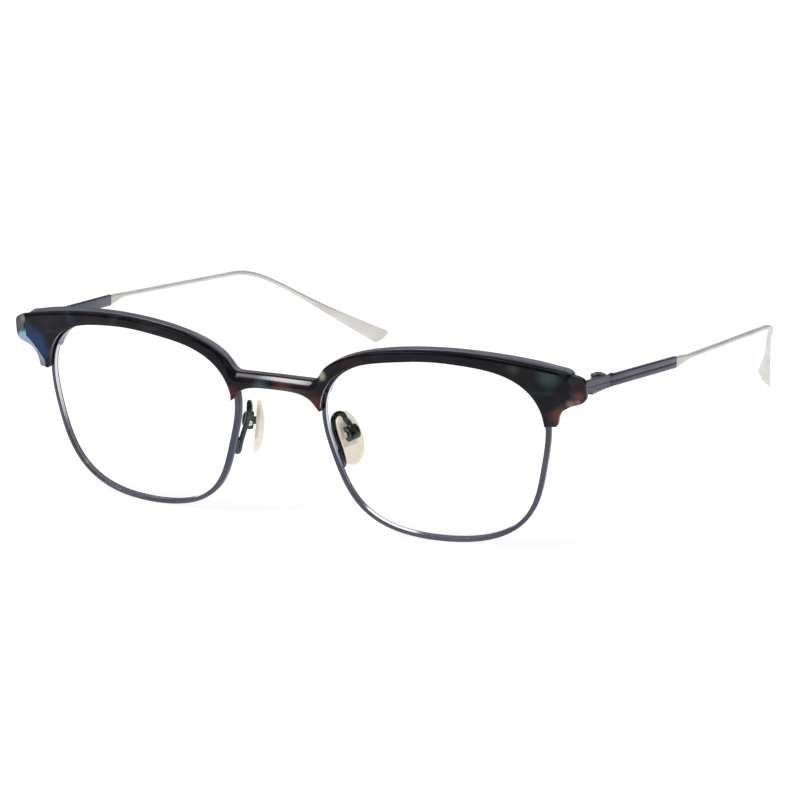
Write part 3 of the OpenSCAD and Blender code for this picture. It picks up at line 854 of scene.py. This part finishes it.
# ---------- nose pads ----------
def nose_pad(side, s):
    """A teardrop pad: flat at the back, with a rounded rim, and domed towards the nose."""
    half_len, half_wide, low = 6.0, 3.3, -1.4
    front, back, dome = 3.3, 1.2, 14.5
    steps = 72

    def outline(f, x):
        ring = []
        for i in range(steps):
            a = math.radians(i * 360 / steps)
            z = half_len * math.cos(a) * f
            y = half_wide * math.sin(a) * (1 - 0.16 * math.cos(a)) * f
            ring.append((x, y, z))
        return ring

    def dome_x(ring):
        return [(dome - front - math.sqrt(dome**2 - y * y - z * z), y, z) for _, y, z in ring]

    # share of the full outline, and depth behind the pad's back plane
    rings = [outline(f, -back - depth) for f, depth in (
        (0.02, 0.25), (0.5, 0.22), (0.82, 0.08), (0.93, 0), (0.985, 0.10), (1.0, 0.30))]
    for f in (0.985, 0.95, 0.88, 0.76, 0.6, 0.4, 0.2, 0.02):
        rings.append(dome_x(outline(f, 0)))
    points, faces = loft([[PAD @ Vector((x, y, z + low)) for x, y, z in ring] for ring in rings])
    make(f"nose_pad_clear_{side}", mirrored(points, s), faces, [PADS], f"pad_{side}",
         f"nose_pad_{side}", sharp=60)


# ---------- CAD nodes that keep their shape ----------
def keep(node, material, width):
    """Gives a CAD node its finish and a small rounding of its edges."""
    piece = frame["nodes"][node]
    piece.data.materials.clear()
    piece.data.materials.append(material)
    weld = piece.modifiers.new("weld", "WELD")
    weld.merge_threshold = 0.001 * MM
    if width:
        rounding = piece.modifiers.new("edges", "BEVEL")
        rounding.width = width * MM
        rounding.segments = 2
        rounding.limit_method = "ANGLE"
        rounding.angle_limit = math.radians(35)
        tidy = piece.modifiers.new("normals", "WEIGHTED_NORMAL")
        tidy.keep_sharp = True


def kept_nodes():
    """Small parts that are right as they are, each with its finish and edge rounding."""
    finishes = (("end_piece", SATIN, 0.12), ("lock_upper", SATIN, 0.12), ("lock_lower", SATIN, 0.12),
                ("pad_box", DARK, 0.12), ("pad_core", DARK, 0.06), ("hinge_front", HINGE, 0.10),
                ("hinge_temple", HINGE, 0.10), ("pad_arm", ARM, 0))
    for side, _ in SIDES:
        for stem, material, width in finishes:
            keep(f"{stem}_{side}", material, width)
        round_wire = frame["nodes"][f"pad_arm_{side}"].modifiers.new("round", "SUBSURF")
        round_wire.levels = round_wire.render_levels = 1
    for node in ("lock_screws", "pad_screws", "hinge_screws"):
        keep(node, SCREW, 0.04)


# ---------- camera, light and floor ----------
def camera():
    """The viewing angle of the picture: from the wearer's left front, a little above."""
    azimuth, elevation, roll = math.radians(25.962), math.radians(14.839), math.radians(-0.332)
    distance, target = 763.27, Vector((7.458, 40.0, 18.51))
    ahead = Vector((-math.sin(azimuth) * math.cos(elevation), math.cos(azimuth) * math.cos(elevation),
                    -math.sin(elevation)))
    right = Vector((math.cos(azimuth), math.sin(azimuth), 0))
    up = right.cross(ahead)
    across = right * math.cos(roll) + up * math.sin(roll)
    upward = up * math.cos(roll) - right * math.sin(roll)
    data = bpy.data.cameras.new("camera")
    data.sensor_width = 36
    data.lens = 158.7636
    data.clip_start, data.clip_end = 0.05, 20
    eye = bpy.data.objects.new("camera", data)
    place = Matrix((across, upward, -ahead)).transposed().to_4x4()
    place.translation = TO_ROW @ (target - ahead * distance)
    eye.matrix_world = place
    bpy.context.scene.collection.objects.link(eye)
    bpy.context.scene.camera = eye


def softbox(name, at, size, power):
    """A rectangular light in metres that looks at the middle of the frame."""
    aim = Vector((0, 0, 0.02))
    data = bpy.data.lights.new(name, "AREA")
    data.shape = "RECTANGLE"
    data.size, data.size_y = size
    data.energy = power
    lamp = bpy.data.objects.new(name, data)
    lamp.location = at
    lamp.rotation_mode = "QUATERNION"
    lamp.rotation_quaternion = (aim - Vector(at)).to_track_quat("-Z", "Y")
    bpy.context.scene.collection.objects.link(lamp)


def lights():
    softbox("key", (-0.35, -0.45, 0.75), (0.42, 0.34), 7.5)
    softbox("fill", (0.75, -0.25, 0.35), (0.4, 0.3), 0.6)
    softbox("back", (0.1, 0.75, 0.6), (0.8, 0.3), 1.0)


def surroundings():
    """A white room, a little darker in front of and behind the frame."""
    world = bpy.data.worlds.new("studio")
    bpy.context.scene.world = world
    world.use_nodes = True
    tree = world.node_tree
    shade = tree.nodes["Background"]
    where = add_node(tree, "ShaderNodeTexCoord")
    split = add_node(tree, "ShaderNodeSeparateXYZ")
    tree.links.new(where.outputs["Generated"], split.inputs["Vector"])
    tone = ramp(tree, fit(tree, split.outputs["Y"], -1, 1), (
        (0.10, (0.60, 0.60, 0.64)), (0.50, (1.0, 1.0, 1.0)), (0.85, (0.60, 0.60, 0.64))))
    tree.links.new(tone, shade.inputs["Color"])
    shade.inputs["Strength"].default_value = 0.30


def pale_floor():
    """A wide pale floor whose own light keeps it white, with soft shadows."""
    floor_mesh = bpy.data.meshes.new("floor")
    reach = 6.0
    corners = [(a * reach, b * reach, 0) for a, b in ((-1, -1), (1, -1), (1, 1), (-1, 1))]
    floor_mesh.from_pydata(corners, [], [(0, 1, 2, 3)])
    floor = bpy.data.objects.new("floor", floor_mesh)
    bpy.context.scene.collection.objects.link(floor)
    material, tree, shader = start("pale_floor")
    drift = noise(tree, 3, 2)
    pale = ramp(tree, drift, ((0.3, (0.90, 0.90, 0.905)), (0.7, (0.92, 0.92, 0.92))))
    matt = ramp(tree, drift, ((0.3, (0.29, 0.29, 0.29)), (0.7, (0.30, 0.30, 0.30))))
    tree.links.new(matt, shader.inputs["Base Color"])
    tree.links.new(pale, shader.inputs["Emission Color"])
    shader.inputs["Emission Strength"].default_value = 0.95
    shader.inputs["Roughness"].default_value = 0.9
    shader.inputs["Specular IOR Level"].default_value = 0.1
    floor_mesh.materials.append(material)


# ---------- build ----------
camera()
brow_front()
brow_bar()
for side, s in SIDES:
    rim(side, s)
    lens(side, s)
    temple_bar(side, s)
    temple_wire(side, s)
    nose_pad(side, s)
kept_nodes()
lights()
surroundings()
pale_floor()
bpy.context.scene.view_settings.view_transform = "Standard"
